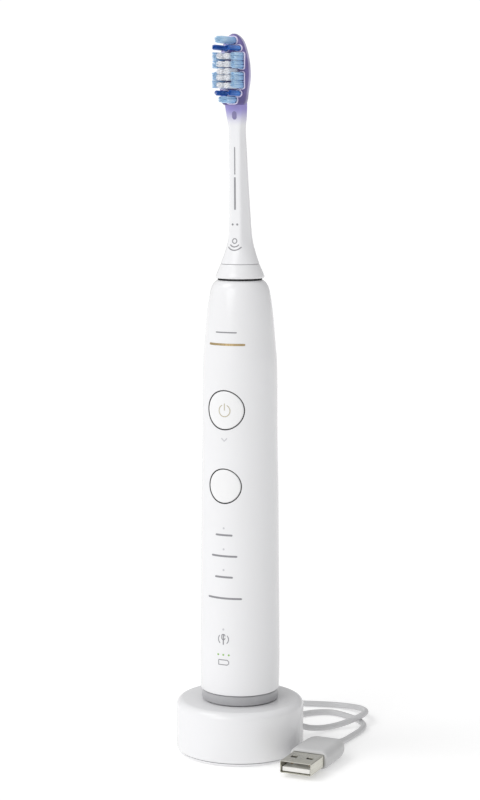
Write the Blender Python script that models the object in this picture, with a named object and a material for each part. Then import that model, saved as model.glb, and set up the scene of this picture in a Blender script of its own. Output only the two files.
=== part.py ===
"""Sonic toothbrush standing on its round charging base, with a USB lead.

Frame: origin at the centre of the base's underside, +Z up, the buttons face -Y.
Sizes are written in millimetres and turned to metres by MM.
"""
import math

import bmesh
import bpy
from mathutils import Matrix, Vector

MM = 0.001
GAP = 0.3                    # air left between neighbouring pieces
SEGMENTS = 48                # sides of a large round piece
SMALL_SEGMENTS = 20          # sides of a small round piece

# charging base
BASE_R = 23.5
BASE_TOP = 19.6
BASE_WALL = 1.8
BASE_SPLIT = 1.5             # height of the line between base plate and shell
BASE_EDGE = 2.6              # radius of the shell's rounded top edge
POST_R = 4.1
POST_HEIGHT = 8.0

# handle: radius at each height, from the foot to the shoulder
HANDLE_PROFILE = ((14.30, 23.75), (14.45, 24.1), (14.62, 37.0), (14.30, 73.5), (14.05, 100.0), (13.70, 118.0),
                  (13.60, 136.0), (13.45, 144.5), (13.12, 149.0), (12.75, 153.2), (12.40, 157.5),
                  (11.98, 161.9), (11.45, 166.2), (10.72, 170.5), (10.20, 172.0), (9.35, 173.4), (8.30, 174.2))
HANDLE_WALL = 1.5
HANDLE_TOP = 174.2
FOOT_RING_R = 14.1
FOOT_RING_TOP = 23.45
WELL_R = 4.6

# buttons, on the front
POWER_Z = 128.4
POWER_R = 6.85
MODE_Z = 100.9
MODE_R = 6.05
BUTTON_CLEARANCE = 0.4
BUTTON_BACK = -9.5

# drive
SHAFT_R = 2.0
SHAFT_TIP_R = 1.7
SHAFT_TOP = 191.0

# brush head: height, half width, half depth and forward shift of each section of its neck
NECK_SECTIONS = ((180.3, 6.95, 6.80, 0.0), (182.8, 6.05, 5.90, 0.0), (185.0, 5.45, 5.20, 0.0),
                 (187.4, 4.85, 4.70, 0.1), (191.4, 4.40, 4.25, 0.3), (200.0, 3.98, 3.70, 0.7),
                 (208.6, 3.65, 3.30, 1.2), (219.3, 3.40, 2.75, 1.9), (227.8, 3.25, 2.35, 2.5),
                 (232.1, 3.85, 2.25, 2.9), (236.2, 4.30, 2.15, 3.5))
NECK_BORE_R = 3.2
NECK_BORE_TOP = 193.0
COLLAR_BOTTOM = 174.95
COLLAR_TOP = 180.0
HEAD_BOTTOM = 236.5
HEAD_TOP = 261.6
HEAD_SIDE = ((4.0, HEAD_BOTTOM), (4.7, 238.3), (5.15, 241.4), (5.65, 244.2), (5.8, 246.4), (5.75, 249.0),
             (5.5, 251.4), (5.1, 253.7), (4.75, 255.2), (4.3, 256.8), (3.85, 258.0), (3.2, 259.2), (2.4, 260.2),
             (1.3, 261.1))       # half width of the head at each height
HEAD_BACK = -2.4
HEAD_FACE = -6.4
BRISTLE_LENGTH = 8.2

# lead
CORD_DIAMETER = 2.3
CORD_REST = CORD_DIAMETER / 2        # height of the lead's centre where it lies on the table
EXIT_ANGLE = math.radians(57.0)      # direction in which the lead leaves the base
EXIT_HEIGHT = 4.0
GROMMET_LENGTH = 5.0
COIL_CENTRE = (-19.0, 39.2)
COIL_MEAN_R = 12.5
COIL_WIDTH = 5 * CORD_DIAMETER       # turns side by side
COIL_HEIGHT = 2 * CORD_DIAMETER      # turns on each other
PLUG_X = 33.0
PLUG_FRONT = -25.2
USB_WIDTH = 12.0
USB_HEIGHT = 4.5
USB_BOTTOM = 1.6
USB_SHOWN = 12.0
OVERMOULD_LENGTH = 20.5
OVERMOULD_WIDTH = 15.0
OVERMOULD_HEIGHT = 7.0


# ---------------------------------------------------------------- helpers

def clear_scene():
    for obj in list(bpy.data.objects):
        bpy.data.objects.remove(obj, do_unlink=True)


def material(name, colour, roughness, metallic=0.0):
    mat = bpy.data.materials.new(name)
    mat.use_nodes = True
    shader = mat.node_tree.nodes["Principled BSDF"]
    shader.inputs["Base Color"].default_value = (*colour, 1.0)
    shader.inputs["Roughness"].default_value = roughness
    shader.inputs["Metallic"].default_value = metallic
    mat.diffuse_color = (*colour, 1.0)
    return mat


def place(name, bm, mat, origin=(0.0, 0.0, 0.0)):
    """Make an object of a bmesh drawn in millimetres about its origin."""
    bmesh.ops.recalc_face_normals(bm, faces=bm.faces)
    bmesh.ops.scale(bm, vec=(MM, MM, MM), verts=bm.verts)
    mesh = bpy.data.meshes.new(name)
    bm.to_mesh(mesh)
    bm.free()
    mesh.shade_smooth()
    mesh.set_sharp_from_angle(angle=math.radians(35))
    obj = bpy.data.objects.new(name, mesh)
    if mat:
        mesh.materials.append(mat)
    obj.location = Vector(origin) * MM
    bpy.context.collection.objects.link(obj)
    return obj


def spun(outline, segments):
    """Turn a closed outline of (radius, height) points about Z."""
    bm = bmesh.new()
    verts = [bm.verts.new((r, 0.0, z)) for r, z in outline]
    edges = [bm.edges.new((a, b)) for a, b in zip(verts, verts[1:] + verts[:1])
             if a.co.x > 1e-6 or b.co.x > 1e-6]
    bmesh.ops.spin(bm, geom=verts + edges, cent=(0, 0, 0), axis=(0, 0, 1), dvec=(0, 0, 0),
                   angle=math.tau, steps=segments, use_merge=True)
    bmesh.ops.remove_doubles(bm, verts=bm.verts, dist=1e-4)
    return bm


def turned(name, outline, mat, segments=SEGMENTS, origin=(0.0, 0.0, 0.0)):
    return place(name, spun(outline, segments), mat, origin)


def ring(name, r_in, r_out, low, high, mat, segments=SEGMENTS, origin=(0.0, 0.0, 0.0)):
    outline = ((r_in, low), (r_out, low), (r_out, high), (r_in, high))
    return turned(name, outline, mat, segments, origin)


def block(name, low, high, mat, bevel=0.0):
    """A box between two corners, its upright and level edges rounded by bevel."""
    bm = bmesh.new()
    size = [b - a for a, b in zip(low, high)]
    middle = [(a + b) / 2 for a, b in zip(low, high)]
    bmesh.ops.create_cube(bm, size=1.0, matrix=Matrix.Diagonal((*size, 1.0)))
    if bevel:
        bmesh.ops.bevel(bm, geom=bm.edges[:], offset=bevel, segments=2, profile=0.5, affect='EDGES')
    return place(name, bm, mat, middle)


def extruded(name, outline, low, high, mat, bevel=0.0):
    """A flat outline of (x, z) points, from y = low to y = high."""
    bm = bmesh.new()
    face = bm.faces.new([bm.verts.new((x, low, z)) for x, z in outline])
    top = bmesh.ops.extrude_face_region(bm, geom=[face])
    moved = [v for v in top["geom"] if isinstance(v, bmesh.types.BMVert)]
    bmesh.ops.translate(bm, vec=(0.0, high - low, 0.0), verts=moved)
    if bevel:
        rims = [e for e in bm.edges if abs(e.verts[0].co.y - e.verts[1].co.y) < 1e-6]
        bmesh.ops.bevel(bm, geom=rims, offset=bevel, segments=1, profile=0.5, affect='EDGES')
    return place(name, bm, mat)


def upright(name, outline, low, high, mat):
    """A flat outline of (x, y) points, from z = low to z = high."""
    bm = bmesh.new()
    face = bm.faces.new([bm.verts.new((x, y, low)) for x, y in outline])
    top = bmesh.ops.extrude_face_region(bm, geom=[face])
    moved = [v for v in top["geom"] if isinstance(v, bmesh.types.BMVert)]
    bmesh.ops.translate(bm, vec=(0.0, 0.0, high - low), verts=moved)
    return place(name, bm, mat)


def lofted(name, sections, mat):
    """Skin a list of equal loops of points and cap both ends."""
    bm = bmesh.new()
    loops = [[bm.verts.new(point) for point in section] for section in sections]
    for lower, upper in zip(loops, loops[1:]):
        for i in range(len(lower)):
            j = (i + 1) % len(lower)
            bm.faces.new((lower[i], lower[j], upper[j], upper[i]))
    bm.faces.new(loops[0])
    bm.faces.new(loops[-1])
    return place(name, bm, mat)


def front_rod(name, radius, back, front, height, mat=None, segments=SEGMENTS):
    """A cylinder along Y at a height on the handle's centre line."""
    bm = spun(((0.0, -front), (radius, -front), (radius, -back), (0.0, -back)), segments)
    bmesh.ops.rotate(bm, matrix=Matrix.Rotation(math.radians(90), 3, 'X'), verts=bm.verts)
    return place(name, bm, mat, (0.0, 0.0, height))


def boolean(obj, operation, other):
    modifier = obj.modifiers.new(other.name, 'BOOLEAN')
    modifier.operation = operation
    modifier.solver = 'EXACT'
    modifier.object = other
    other.hide_render = True
    other.display_type = 'WIRE'


def arc(centre, radius, start, end, steps):
    """Points on an arc, its angles in degrees."""
    angles = [math.radians(start + (end - start) * i / steps) for i in range(steps + 1)]
    return [(centre[0] + radius * math.cos(a), centre[1] + radius * math.sin(a)) for a in angles]


def rounded(width, height, radius, centre=(0.0, 0.0), steps=3):
    """A rectangle with round corners."""
    x, y = width / 2 - radius, height / 2 - radius
    corners = ((x, y, 0), (-x, y, 90), (-x, -y, 180), (x, -y, 270))
    return [point for cx, cy, start in corners
            for point in arc((centre[0] + cx, centre[1] + cy), radius, start, start + 90, steps)]


def smooth_path(points, spacing):
    """Catmull-Rom curve through the points, read about every spacing millimetres."""
    ends = [2 * points[0] - points[1]] + points + [2 * points[-1] - points[-2]]
    path = []
    for p0, p1, p2, p3 in zip(ends, ends[1:], ends[2:], ends[3:]):
        steps = max(1, round((p2 - p1).length / spacing))
        for i in range(steps):
            t = i / steps
            path.append(0.5 * (2 * p1 + (p2 - p0) * t + (2 * p0 - 5 * p1 + 4 * p2 - p3) * t ** 2
                               + (3 * p1 - p0 - 3 * p2 + p3) * t ** 3))
    return path + [points[-1]]


def lead(name, route, mat, spacing=4.6):
    """A stretch of the lead as a curve object with a round section."""
    path = smooth_path([Vector(point) for point in route], spacing)
    curve = bpy.data.curves.new(name, 'CURVE')
    curve.dimensions = '3D'
    curve.bevel_depth = CORD_DIAMETER / 2 * MM
    curve.bevel_resolution = 2
    curve.render_resolution_u = 0
    curve.use_fill_caps = True
    spline = curve.splines.new('POLY')
    spline.points.add(len(path) - 1)
    for point, place_at in zip(spline.points, path):
        point.co = (*(place_at * MM), 1.0)
    curve.materials.append(mat)
    obj = bpy.data.objects.new(name, curve)
    bpy.context.collection.objects.link(obj)
    return obj


# ---------------------------------------------------------------- charging base

def make_charging_base(mats):
    inner = BASE_R - BASE_WALL
    under = BASE_TOP - BASE_WALL
    post_top = BASE_TOP + POST_HEIGHT
    low = BASE_SPLIT + GAP
    edge = arc((BASE_R - BASE_EDGE, BASE_TOP - BASE_EDGE), BASE_EDGE, 0, 90, 4)
    shell = turned("charger_shell", [
        (inner, low), (BASE_R - 0.2, low), (BASE_R, low + 0.3), *edge,
        (POST_R + 0.6, BASE_TOP), (POST_R, BASE_TOP + 0.6), (POST_R, post_top - 0.8), (POST_R - 0.8, post_top),
        (0.0, post_top), (0.0, post_top - 1.2), (POST_R - 1.2, post_top - 1.2), (POST_R - 1.2, under),
        (inner - 1.5, under), (inner, under - 1.5)], mats["white"])
    exit_way = turned("exit_way", ((0.0, BASE_R - 6.0), (1.9, BASE_R - 6.0), (1.9, BASE_R + 6.0), (0.0, BASE_R + 6.0)),
                      None, SMALL_SEGMENTS, (0.0, 0.0, EXIT_HEIGHT))
    exit_way.rotation_euler = (0.0, math.radians(90), EXIT_ANGLE)
    boolean(shell, 'DIFFERENCE', exit_way)
    groove_top = 1.0
    turned("charger_base_plate", [
        (0.0, 0.4), (16.4, 0.4), (16.4, groove_top), (20.4, groove_top), (20.4, 0.4), (BASE_R - 0.7, 0.4),
        (BASE_R - 0.3, 0.8), (BASE_R - 0.3, BASE_SPLIT), (0.0, BASE_SPLIT)], mats["white"])
    ring("charger_foot", 16.7, 20.1, 0.0, groove_top - GAP, mats["rubber"], 40)
    ring("charger_board", 3.2, 16.5, 6.2, 7.6, mats["board"], 32)
    ring("charger_coil", 3.2, 12.0, 9.0, under - GAP - 0.6, mats["copper"], 32)
    turned("charger_core", ((0.0, BASE_SPLIT + GAP), (2.3, BASE_SPLIT + GAP), (2.3, post_top - 1.8), (0.0, post_top - 1.8)),
           mats["ferrite"], SMALL_SEGMENTS)


def make_grommet(mats):
    start, end = BASE_R - 3.6, BASE_R + GROMMET_LENGTH - 1.0
    grommet = turned("cord_grommet", [
        (0.0, start), (2.2, start), (2.2, BASE_R - 2.4), (1.6, BASE_R - 2.2), (1.6, BASE_R + 0.6),
        (1.35, end), (0.0, end)], mats["cord"], SMALL_SEGMENTS, (0.0, 0.0, EXIT_HEIGHT))
    grommet.rotation_euler = (0.0, math.radians(90), EXIT_ANGLE)


def exit_point(radius, height):
    return (radius * math.cos(EXIT_ANGLE), radius * math.sin(EXIT_ANGLE), height)


def make_lead(mats):
    z = CORD_REST
    lead("charging_cord", [
        exit_point(BASE_R + GROMMET_LENGTH - 0.7, EXIT_HEIGHT), exit_point(BASE_R + 8.0, 2.7),
        (19.9, 31.6, 1.6), (23.0, 36.8, 1.4), (26.4, 40.6, 2.2), (29.2, 43.8, 3.3), (30.6, 47.6, 3.9),
        (30.0, 52.0, 3.8), (27.4, 56.4, 3.2), (23.4, 60.6, 2.4), (18.2, 63.6, 1.6), (11.8, 64.6, z),
        (5.0, 62.9, z), (-1.6, 60.9, z), (-8.0, 59.3, z), (-13.4, 58.2, z)], mats["cord"])
    lead("plug_cord", [
        (-3.0, 27.9, 2.9), (0.2, 32.4, 2.3), (2.2, 38.4, 1.5), (4.4, 45.2, z), (8.8, 51.2, z), (14.8, 54.2, z),
        (21.6, 52.4, z), (28.4, 48.4, z), (32.7, 42.9, z), (34.0, 36.2, z), (33.7, 29.0, z),
        (33.3, 21.0, 1.3), (33.1, 14.5, 2.3), (PLUG_X, PLUG_FRONT + USB_SHOWN + OVERMOULD_LENGTH + 2.4, 3.6),
        (PLUG_X, PLUG_FRONT + USB_SHOWN + OVERMOULD_LENGTH + GAP, USB_BOTTOM + USB_HEIGHT / 2)], mats["cord"])
    low, high = 0.0, COIL_HEIGHT
    inner, outer = COIL_MEAN_R - COIL_WIDTH / 2, COIL_MEAN_R + COIL_WIDTH / 2
    turned("cord_coil", [
        (inner + 1.0, low), (outer - 1.0, low), (outer, low + 1.0), (outer, high - 1.0), (outer - 1.0, high),
        (inner + 1.0, high), (inner, high - 1.0), (inner, low + 1.0)], mats["cord"], 32, (*COIL_CENTRE, 0.0))


def make_plug(mats):
    back = PLUG_FRONT + USB_SHOWN
    middle = USB_BOTTOM + USB_HEIGHT / 2
    wall = 0.35
    root = back + 8.0

    def section(width, height, radius, y):
        return [(PLUG_X + x, y, middle + z) for x, z in rounded(width, height, radius)]

    shell = lofted("usb_shell", [section(USB_WIDTH, USB_HEIGHT, 0.5, PLUG_FRONT),
                                 section(USB_WIDTH, USB_HEIGHT, 0.5, root)], mats["steel"])
    hollow = lofted("usb_hollow", [section(USB_WIDTH - 2 * wall, USB_HEIGHT - 2 * wall, 0.3, PLUG_FRONT - 2.0),
                                   section(USB_WIDTH - 2 * wall, USB_HEIGHT - 2 * wall, 0.3, root - 0.6)], None)
    boolean(shell, 'DIFFERENCE', hollow)
    for side, x in (("left", -3.0), ("right", 3.0)):
        window = block("usb_window_" + side, (PLUG_X + x - 1.25, PLUG_FRONT + 5.2, middle),
                       (PLUG_X + x + 1.25, PLUG_FRONT + 7.4, middle + 4.0), None)
        boolean(shell, 'DIFFERENCE', window)
    block("usb_tongue", (PLUG_X - 5.3, PLUG_FRONT + 0.6, USB_BOTTOM + wall + GAP),
          (PLUG_X + 5.3, root - 0.6 - GAP, USB_BOTTOM + wall + GAP + 1.6), mats["white"])
    end = back + OVERMOULD_LENGTH
    overmould = lofted("usb_overmould", [
        section(OVERMOULD_WIDTH - 1.4, OVERMOULD_HEIGHT - 1.2, 1.6, back),
        section(OVERMOULD_WIDTH - 0.5, OVERMOULD_HEIGHT - 0.4, 1.9, back + 0.6),
        section(OVERMOULD_WIDTH, OVERMOULD_HEIGHT, 2.1, back + 2.0),
        section(OVERMOULD_WIDTH, OVERMOULD_HEIGHT, 2.1, end - 4.2),
        section(OVERMOULD_WIDTH - 1.4, OVERMOULD_HEIGHT - 0.8, 2.1, end - 2.0),
        section(OVERMOULD_WIDTH - 4.4, OVERMOULD_HEIGHT - 2.4, 1.6, end - 0.6),
        section(OVERMOULD_WIDTH - 7.6, OVERMOULD_HEIGHT - 4.4, 1.0, end)], mats["cord"])
    pocket = lofted("usb_pocket", [section(USB_WIDTH + 2 * GAP, USB_HEIGHT + 2 * GAP, 0.7, back - 2.0),
                                   section(USB_WIDTH + 2 * GAP, USB_HEIGHT + 2 * GAP, 0.7, root + GAP)], None)
    boolean(overmould, 'DIFFERENCE', pocket)


# ---------------------------------------------------------------- handle

def handle_inside():
    """The casing's inner outline, from the foot to the shoulder, on every third point of the outside."""
    return [(r - HANDLE_WALL, z) for r, z in HANDLE_PROFILE[1:-3:3]]


def make_casing(mats):
    under_top = HANDLE_TOP - 1.4
    mouth = 4.4
    outline = [*HANDLE_PROFILE, (mouth, HANDLE_TOP), (mouth, under_top), (8.2, under_top), *reversed(handle_inside()),
               (HANDLE_PROFILE[1][0] - HANDLE_WALL, HANDLE_PROFILE[0][1])]
    casing = turned("handle_casing", outline, mats["white"])
    for name, radius, height in (("power_hole", POWER_R, POWER_Z), ("mode_hole", MODE_R, MODE_Z)):
        boolean(casing, 'DIFFERENCE', front_rod(name, radius + BUTTON_CLEARANCE, BUTTON_BACK, -20.0, height))


def make_button(name, radius, height, mats):
    """A round cap whose front follows the handle's curve."""
    cap = front_rod(name, radius, BUTTON_BACK, -20.0, height, mats["white"])
    form = turned(name + "_form", [*HANDLE_PROFILE, (0.0, HANDLE_TOP), (0.0, HANDLE_PROFILE[0][1])], None, 96)
    boolean(cap, 'INTERSECT', form)


def make_handle_foot(mats):
    low = BASE_TOP + GAP
    turned("base_trim_ring", ((9.7, low), (FOOT_RING_R - 0.3, low), (FOOT_RING_R, low + 0.3),
                              (FOOT_RING_R, FOOT_RING_TOP), (9.7, FOOT_RING_TOP)), mats["grey"])
    roof = BASE_TOP + POST_HEIGHT + 1.1
    turned("base_cap", ((WELL_R, low), (9.4, low), (9.4, 23.8), (12.5, 23.8), (12.5, 26.6), (6.2, 26.6),
                        (6.2, roof + 1.4), (0.0, roof + 1.4), (0.0, roof), (WELL_R, roof)), mats["grey"], 40)
    turned("base_seal", arc((11.9, 27.7), 0.75, 0, 315, 7), mats["rubber"], 32)
    ring("receiver_coil", 6.5, 9.6, 26.9, 31.6, mats["copper"], 32)


def make_chassis(mats):
    outer, inner = 10.6, 9.2
    section = arc((0.0, 0.0), outer, -25, 205, 16) + arc((0.0, 0.0), inner, 205, -25, 16)
    upright("chassis", section, 33.0, 116.0, mats["frame"])


def make_electronics(mats):
    turned("battery_cell", ((0.0, 36.0), (6.7, 36.0), (7.0, 36.4), (7.0, 85.0), (6.6, 85.6), (2.6, 85.6),
                            (2.6, 86.4), (0.0, 86.4)), mats["battery"], 32, (0.0, 1.2, 0.0))
    block("battery_bottom_tab", (-2.5, -3.0, 34.9), (2.5, 5.0, 35.4), mats["steel"])
    block("battery_top_tab", (-2.5, -3.0, 86.8), (2.5, 5.0, 87.3), mats["steel"])
    board_front = -8.2
    block("circuit_board", (-6.3, board_front, 36.0), (6.3, board_front + 1.2, 140.0), mats["board"])
    for name, height in (("power_switch", POWER_Z), ("mode_switch", MODE_Z)):
        block(name, (-2.6, -8.95, height - 2.6), (2.6, board_front - GAP, height + 2.6), mats["steel"])
    block("mode_light_guide", (-1.6, -10.8, 60.0), (1.6, board_front - GAP, 90.0), mats["clear"])
    block("battery_light_guide", (-3.2, -10.8, 38.0), (3.2, board_front - GAP, 54.0), mats["clear"])


def make_motor(mats):
    """A three-legged stator, its winding, and the frame that carries the shaft's bearings."""
    foot, top = 89.0, 103.0
    legs = [(-7.0, foot), (7.0, foot), (7.0, top), (5.0, top), (5.0, foot + 4), (1.6, foot + 4), (1.6, top),
            (-1.6, top), (-1.6, foot + 4), (-5.0, foot + 4), (-5.0, top), (-7.0, top)]
    extruded("stator_core", legs, -4.0, 4.6, mats["ferrite"])
    bm = bmesh.new()
    outer = [bm.verts.new((x, y, 0.0)) for x, y in rounded(9.2, 13.4, 1.4)]
    inner = [bm.verts.new((x, y, 0.0)) for x, y in rounded(3.8, 9.2, 0.5)]
    for i in range(len(outer)):
        j = (i + 1) % len(outer)
        bm.faces.new((outer[i], outer[j], inner[j], inner[i]))
    raised = bmesh.ops.extrude_face_region(bm, geom=bm.faces[:])
    moved = [v for v in raised["geom"] if isinstance(v, bmesh.types.BMVert)]
    bmesh.ops.translate(bm, vec=(0.0, 0.0, 9.0), verts=moved)
    place("motor_winding", bm, mats["copper"], (0.0, 0.3, foot + 4 + GAP))
    turned("drive_housing", ((6.1, 118.0), (7.5, 118.0), (7.5, 166.4), (5.2, 166.4), (5.2, 159.5), (6.1, 158.0)),
           mats["frame"], 32, (0.0, 0.7, 0.0))
    turned("rear_bearing", ((2.3, 121.0), (5.1, 121.0), (5.1, 125.0), (2.3, 125.0)), mats["steel"],
           SMALL_SEGMENTS)
    turned("front_bearing", ((2.3, 160.0), (4.0, 160.0), (4.0, 166.0), (2.3, 166.0)), mats["steel"],
           SMALL_SEGMENTS)
    turned("shaft_seal", ((2.3, 167.2), (5.6, 167.2), (5.6, 169.0), (4.1, 170.4), (4.1, 174.6), (3.2, 175.2),
                          (2.3, 175.2)), mats["rubber"], SMALL_SEGMENTS)


# ---------------------------------------------------------------- drive and brush

def make_drive(mats):
    block("rotor_magnet", (-6.4, -3.8, 104.0), (6.4, 4.4, 109.0), mats["steel"])
    shaft = turned("drive_shaft", ((0.0, 109.3), (3.6, 109.3), (3.6, 111.5), (SHAFT_R, 112.5), (SHAFT_R, 175.0),
                                   (SHAFT_TIP_R, 176.0), (SHAFT_TIP_R, SHAFT_TOP - 0.5),
                                   (SHAFT_TIP_R - 0.5, SHAFT_TOP), (0.0, SHAFT_TOP)), mats["steel"], SMALL_SEGMENTS)
    flat = block("shaft_flat", (-4.0, SHAFT_TIP_R - 0.5, 181.0), (4.0, 6.0, SHAFT_TOP + 2.0), None)
    boolean(shaft, 'DIFFERENCE', flat)


def neck_loop(height, half_width, half_depth, forward, sides=24):
    """An oval with a flatter front."""
    loop = []
    for i in range(sides):
        a = math.tau * i / sides
        y = half_depth * math.sin(a)
        if y < 0:
            y = -half_depth * abs(math.sin(a)) ** 0.8 * 0.94
        loop.append((half_width * math.cos(a), y - forward, height))
    return loop


def make_brush_head(mats):
    ring_outline = ((5.4, COLLAR_BOTTOM), (8.45, COLLAR_BOTTOM), (8.85, COLLAR_BOTTOM + 0.6), (8.3, 177.0),
                    (7.55, 178.6), (7.0, COLLAR_TOP), (5.4, COLLAR_TOP))
    turned("collar_ring", ring_outline, mats["white"], 36)
    neck = lofted("brush_neck", [neck_loop(*section) for section in NECK_SECTIONS], mats["white"])
    bore = turned("neck_bore", ((0.0, 170.0), (NECK_BORE_R, 170.0), (NECK_BORE_R, NECK_BORE_TOP), (0.0, NECK_BORE_TOP)),
                  None, SMALL_SEGMENTS)
    boolean(neck, 'DIFFERENCE', bore)
    turned("coupling_sleeve", ((SHAFT_TIP_R + GAP, 180.6), (NECK_BORE_R - GAP, 180.6), (NECK_BORE_R - GAP, 192.0),
                               (SHAFT_TIP_R + GAP, 192.0)), mats["frame"], SMALL_SEGMENTS)
    outline = [*HEAD_SIDE, (0.0, HEAD_TOP), *((-x, z) for x, z in reversed(HEAD_SIDE))]
    extruded("head_plate", outline, HEAD_FACE, HEAD_BACK, mats["purple"], bevel=0.7)


def tuft(name, width, height, centre, mat, length=BRISTLE_LENGTH, corner=None):
    """A bundle of bristles standing out of the head's face."""
    radius = corner if corner else min(width, height) / 2 * 0.98
    x, z = centre
    outline = rounded(width, height, radius, (x, z), 3)
    extruded(name, outline, HEAD_FACE - GAP - length, HEAD_FACE - GAP, mat)


def make_bristles(mats):
    tuft("top_tuft", 3.9, 2.3, (-0.2, 258.9), mats["light_blue"], 10.2)
    tuft("bottom_tuft", 4.1, 2.1, (-0.1, 238.5), mats["light_blue"], 7.2)
    for level, height in (("upper", 256.3), ("lower", 240.6)):
        for side, x in (("left", -2.45), ("right", 2.45)):
            tuft(f"{level}_{side}_tuft", 2.0, 1.9, (x, height), mats["dark_blue"])
    for level, height in (("upper", 251.9), ("lower", 245.1)):
        for side, x in (("left", -3.6), ("right", 3.6)):
            tuft(f"{level}_{side}_wall", 1.8, 5.6, (x, height), mats["light_blue"], corner=0.7)
    pitch = 2.6
    for row in range(5):
        tuft(f"white_row_{row + 1}", 4.6, 1.9, (0.0, 253.6 - row * pitch), mats["bristle_white"])


def main():
    clear_scene()
    mats = {
        "white": material("white_plastic", (0.86, 0.86, 0.87), 0.3),
        "grey": material("grey_satin_plastic", (0.30, 0.30, 0.31), 0.4),
        "frame": material("frame_plastic", (0.62, 0.62, 0.60), 0.5),
        "cord": material("cord_jacket", (0.72, 0.72, 0.73), 0.45),
        "rubber": material("rubber", (0.10, 0.10, 0.10), 0.7),
        "steel": material("steel", (0.75, 0.75, 0.76), 0.25, 1.0),
        "copper": material("copper_winding", (0.72, 0.36, 0.20), 0.35, 1.0),
        "ferrite": material("ferrite", (0.12, 0.12, 0.13), 0.6),
        "board": material("circuit_board", (0.05, 0.25, 0.12), 0.5),
        "battery": material("battery_sleeve", (0.15, 0.33, 0.55), 0.4),
        "clear": material("clear_guide", (0.85, 0.88, 0.90), 0.1),
        "purple": material("purple_plastic", (0.30, 0.22, 0.52), 0.3),
        "light_blue": material("light_blue_bristle", (0.35, 0.60, 0.80), 0.5),
        "dark_blue": material("dark_blue_bristle", (0.02, 0.16, 0.50), 0.5),
        "bristle_white": material("white_bristle", (0.85, 0.87, 0.90), 0.5),
    }
    make_charging_base(mats)
    make_grommet(mats)
    make_lead(mats)
    make_plug(mats)
    make_casing(mats)
    make_handle_foot(mats)
    make_button("power_button", POWER_R, POWER_Z, mats)
    make_button("mode_button", MODE_R, MODE_Z, mats)
    make_chassis(mats)
    make_electronics(mats)
    make_motor(mats)
    make_drive(mats)
    make_brush_head(mats)
    make_bristles(mats)


main()
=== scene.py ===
"""Sonic toothbrush on its round charging base, with a USB lead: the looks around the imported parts.

Frame: origin at the centre of the base's underside, +Z up, the buttons face -Y.
Sizes are written in millimetres and turned to metres by MM.
"""
import math

import bmesh
import bpy
from mathutils import Matrix, Vector


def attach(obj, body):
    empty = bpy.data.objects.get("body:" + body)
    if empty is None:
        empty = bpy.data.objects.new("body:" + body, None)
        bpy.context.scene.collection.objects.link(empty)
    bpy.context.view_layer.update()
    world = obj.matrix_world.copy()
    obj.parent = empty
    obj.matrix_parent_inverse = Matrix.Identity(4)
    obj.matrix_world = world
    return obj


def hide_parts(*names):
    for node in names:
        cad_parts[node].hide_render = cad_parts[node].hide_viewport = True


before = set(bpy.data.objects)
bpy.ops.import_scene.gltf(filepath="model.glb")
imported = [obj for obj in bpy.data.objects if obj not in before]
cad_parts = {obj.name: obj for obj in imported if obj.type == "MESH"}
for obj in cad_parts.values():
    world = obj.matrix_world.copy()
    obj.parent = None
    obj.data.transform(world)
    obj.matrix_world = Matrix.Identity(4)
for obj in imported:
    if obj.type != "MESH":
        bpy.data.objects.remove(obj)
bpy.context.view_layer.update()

MM = 0.001
SIDES = 128                  # sides of a large turned piece
SHARP = math.radians(35)     # edges sharper than this stay crisp

# charging base
BASE_R = 23.5
BASE_TOP = 19.6
BASE_SPLIT = 0.95
BASE_EDGE = 2.6
POST_R = 4.1
POST_TOP = 27.6

# handle: radius at each height, from the foot to the shoulder
HANDLE_PROFILE = ((14.45, 24.1), (14.62, 37.0), (14.30, 73.5), (14.05, 100.0), (13.70, 118.0), (13.60, 136.0),
                  (13.45, 144.5), (13.12, 149.0), (12.75, 153.2), (12.40, 157.5), (11.98, 161.9),
                  (11.45, 166.2), (10.72, 170.5), (10.20, 172.0), (9.35, 173.4), (8.30, 174.2))
HANDLE_WALL = 1.5
POWER_Z, POWER_R = 128.4, 6.85
MODE_Z, MODE_R = 100.9, 6.05
BUTTON_GAP = 0.4
BUTTON_BACK = -9.5
BUTTON_DISH = 0.16
INK = 0.04                   # how far a print stands proud
INK_ROOT = 0.03              # how far it reaches under the surface

# brush head: height, half width, half depth and forward shift of each section of its neck
NECK_SECTIONS = ((180.3, 6.95, 6.80, 0.0), (182.8, 6.05, 5.90, 0.0), (185.0, 5.45, 5.20, 0.0),
                 (187.4, 4.85, 4.70, 0.1), (191.4, 4.40, 4.25, 0.3), (200.0, 3.98, 3.70, 0.7),
                 (208.6, 3.65, 3.30, 1.2), (219.3, 3.40, 2.75, 1.9), (227.8, 3.25, 2.35, 2.5),
                 (232.1, 3.85, 2.25, 2.9), (236.2, 4.30, 2.15, 3.5), (238.4, 4.50, 1.80, 4.0))
NECK_FOOT, NECK_TOP = 180.12, 238.4
NECK_BORE_R, NECK_BORE_TOP = 3.2, 193.0
COLLAR_FOOT = 174.95
HEAD_FACE, HEAD_BACK = -6.4, -2.4
HEAD_BOTTOM = 236.6
# half width of the head at each height, to its top
HEAD_SIDE = ((3.3, HEAD_BOTTOM), (4.05, 236.8), (4.7, 238.3), (5.15, 241.4), (5.65, 244.2), (5.82, 246.6),
             (5.75, 249.2), (5.5, 251.6), (5.1, 253.7), (4.65, 255.4), (4.15, 257.0), (3.5, 258.6),
             (2.6, 259.9), (1.5, 260.9), (0.5, 261.45))

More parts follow.
